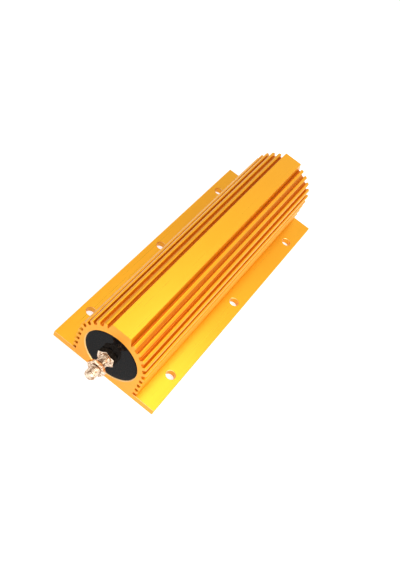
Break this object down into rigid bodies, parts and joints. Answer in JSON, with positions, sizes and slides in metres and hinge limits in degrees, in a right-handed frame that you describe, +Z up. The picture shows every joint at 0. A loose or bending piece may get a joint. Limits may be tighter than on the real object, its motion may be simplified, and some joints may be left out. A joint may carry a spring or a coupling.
{
  "type": "aluminium housed power resistor",
  "caption": "Aluminium housed power resistor: gold-anodised finned extrusion on a flat drilled base, closed at each end by a black disc with a threaded terminal stud and hex nuts.",
  "frame": {"origin": "under the middle of the mounting base, on its underside", "axes": "+X across the base, +Y along the body towards the rear terminal, +Z up from the base to the top bar"},
  "size_m": [0.11, 0.355, 0.071],
  "materials": {
    "gold_anodised": "satin gold anodised extrusion",
    "black_moulded": "glossy black moulded",
    "plated_brass": "bright plated, machined",
    "silicone_rubber": "matt",
    "steel": "plated",
    "ceramic": "unglazed",
    "nickel_chrome": "rolled strip",
    "cement": "set mineral cement"
  },
  "bodies": {
    "root": {"housing": "gold_anodised", "ceramic_core": "ceramic", "resistance_ribbon": "nickel_chrome", "insulating_filler": "cement", "front_end_disc": "black_moulded", "front_terminal_stud": "plated_brass", "front_lock_nut": "plated_brass", "front_terminal_nut": "plated_brass", "front_seal_washer": "silicone_rubber", "front_ferrule": "steel", "front_spring_washer": "steel", "front_inner_nut": "steel", "rear_end_disc": "black_moulded", "rear_terminal_stud": "plated_brass", "rear_lock_nut": "plated_brass", "rear_terminal_nut": "plated_brass", "rear_seal_washer": "silicone_rubber", "rear_ferrule": "steel", "rear_spring_washer": "steel", "rear_inner_nut": "steel"}
  },
  "joints": []
}
